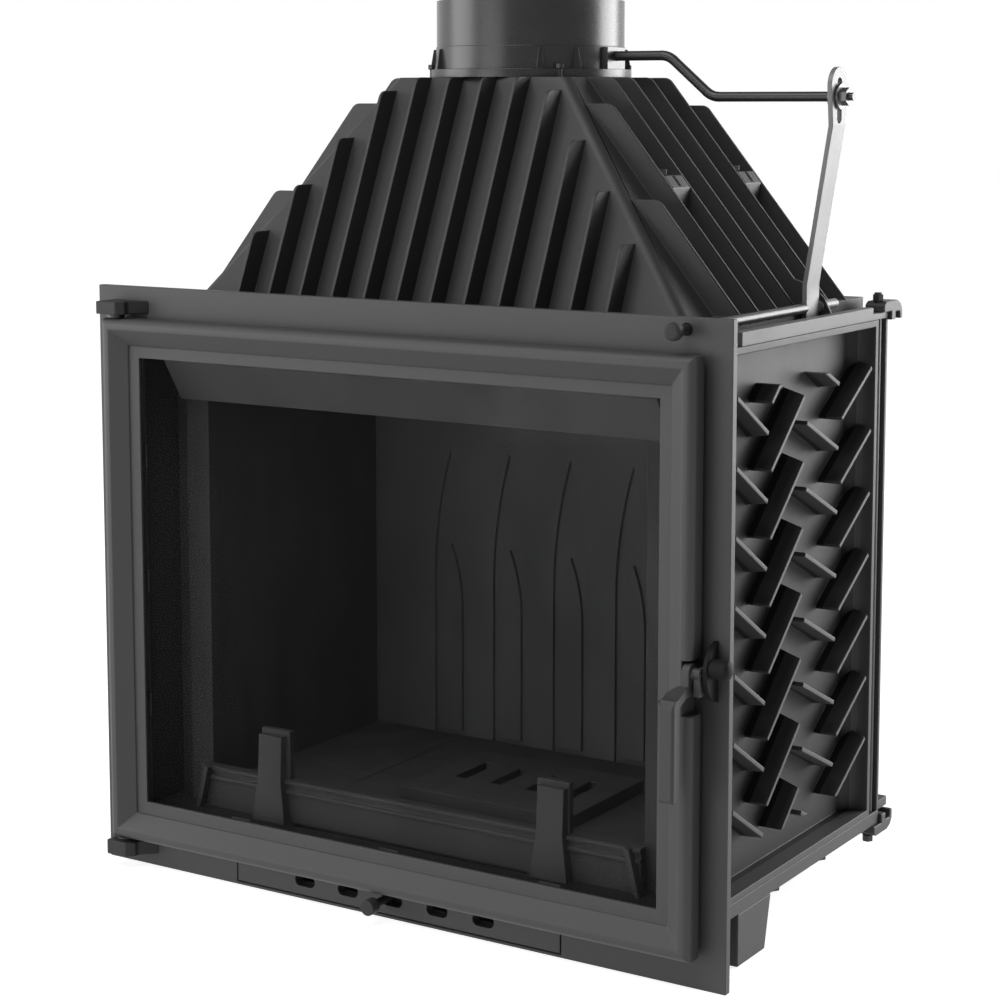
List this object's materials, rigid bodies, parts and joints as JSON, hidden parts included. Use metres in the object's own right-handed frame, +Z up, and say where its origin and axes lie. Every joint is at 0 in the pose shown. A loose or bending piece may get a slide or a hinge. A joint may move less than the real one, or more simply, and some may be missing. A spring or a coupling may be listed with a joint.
{
  "type": "fireplace insert",
  "caption": "Cast iron fireplace insert with a glazed side-hung door, ribbed walls, finned hood, flue collar with a lever-worked damper, and a sliding air inlet.",
  "frame": {"origin": "on the floor under the middle of the whole insert's box", "axes": "+X to the viewer's right, +Y into the depth (the door faces -Y), +Z up"},
  "size_m": [0.757, 0.491, 0.921],
  "materials": {
    "plate_paint": "matt heat-resistant paint",
    "door_paint": "matt heat-resistant paint",
    "casing_iron": "painted cast iron, matt grey",
    "hood_iron": "painted cast iron, matt dark grey",
    "fixing_steel": "dulled steel",
    "clamp_paint": "matt grey paint",
    "rod_paint": "satin dark paint",
    "lever_paint": "matt grey paint",
    "pin_steel": "turned steel",
    "handle_iron": "painted casting, matt",
    "lining_iron": "black firebox casting",
    "blade_iron": "dark casting",
    "glass": "ceramic fire glass, slightly tinted",
    "rope_fibre": "grey glass-fibre rope",
    "gasket_fibre": "flat fibre gasket",
    "slide_steel": "dulled steel",
    "grate_iron": "black firebox casting",
    "pan_steel": "black sheet steel"
  },
  "bodies": {
    "casing": {"face_plate": "plate_paint", "side_wall_left": "casing_iron", "side_wall_right": "casing_iron", "rear_wall": "casing_iron", "base_plate": "casing_iron", "top_frame": "casing_iron", "hood": "hood_iron", "flue_collar": "casing_iron", "collar_bolts": "fixing_steel", "hood_clamps": "clamp_paint", "hood_clamp_bolts": "fixing_steel", "tie_rods": "rod_paint", "corner_clamps": "rod_paint", "clamp_nuts": "fixing_steel", "front_feet": "casing_iron", "rear_feet": "casing_iron", "base_bolts": "fixing_steel", "hinge_bracket_upper": "casing_iron", "hinge_bracket_lower": "casing_iron", "hinge_pins": "pin_steel", "keeper_bracket": "casing_iron", "keeper_boss": "casing_iron", "side_lining_left": "lining_iron", "side_lining_right": "lining_iron", "rear_lining": "lining_iron", "floor_plates": "lining_iron", "air_deflector": "lining_iron", "baffle_lower": "lining_iron", "baffle_upper": "lining_iron", "air_panel": "casing_iron", "air_panel_screws": "fixing_steel"},
    "door": {"door_frame": "door_paint", "door_glass": "glass", "glass_gasket": "gasket_fibre", "glass_clips": "fixing_steel", "clip_screws": "fixing_steel", "door_rope": "rope_fibre", "handle_pin": "pin_steel"},
    "handle": {"door_handle": "handle_iron"},
    "roller": {"keeper_roller": "pin_steel"},
    "damper_control": {"pull_rod": "rod_paint", "pull_knob": "rod_paint", "damper_lever": "lever_paint"},
    "damper": {"damper_shaft": "rod_paint", "damper_blade": "blade_iron", "shaft_nuts": "fixing_steel", "blade_bolts": "fixing_steel"},
    "air_shutter": {"air_slide": "slide_steel", "air_knob": "slide_steel"},
    "fire_grate": {"grate": "grate_iron"},
    "ash_drawer": {"ash_pan": "pan_steel"},
    "guard": {"log_guard": "grate_iron"}
  },
  "joints": [
    {"name": "door_swing", "type": "hinge", "parent": "casing", "child": "door", "pos_m": [-0.3425, -0.2, 0.312], "axis": [0, 0, -1], "range_deg": [0, 100]},
    {"name": "handle_lift", "type": "hinge", "parent": "door", "child": "handle", "pos_m": [0.3405, -0.2075, 0.3045], "axis": [-1, 0, 0], "range_deg": [0, 45]},
    {"name": "keeper_roll", "type": "hinge", "parent": "casing", "child": "roller", "pos_m": [0.3495, -0.1965, 0.305], "axis": [1, 0, 0], "continuous": true},
    {"name": "damper_pull", "type": "slide", "parent": "casing", "child": "damper_control", "axis": [0, -1, 0], "range_m": [0, 0.03]},
    {"name": "damper_turn", "type": "hinge", "parent": "casing", "child": "damper", "pos_m": [-0.0045, 0.0785, 0.8629], "axis": [-1, 0, 0], "range_deg": [0, 44.4]},
    {"name": "air_slide_move", "type": "slide", "parent": "casing", "child": "air_shutter", "axis": [1, 0, 0], "range_m": [0, 0.0162]},
    {"name": "grate_lift", "type": "slide", "parent": "casing", "child": "fire_grate", "axis": [0, 0, 1], "range_m": [0, 0.15]},
    {"name": "pan_lift", "type": "slide", "parent": "casing", "child": "ash_drawer", "axis": [0, 0, 1], "range_m": [0, 0.08]},
    {"name": "guard_lift", "type": "slide", "parent": "casing", "child": "guard", "axis": [0, 0, 1], "range_m": [0, 0.06]}
  ],
  "couplings": [
    {"joint": "damper_turn", "follows": "damper_pull", "rad_per_m": 25.77},
    {"joint": "pan_lift", "follows": "grate_lift", "ratio": 0.5}
  ]
}
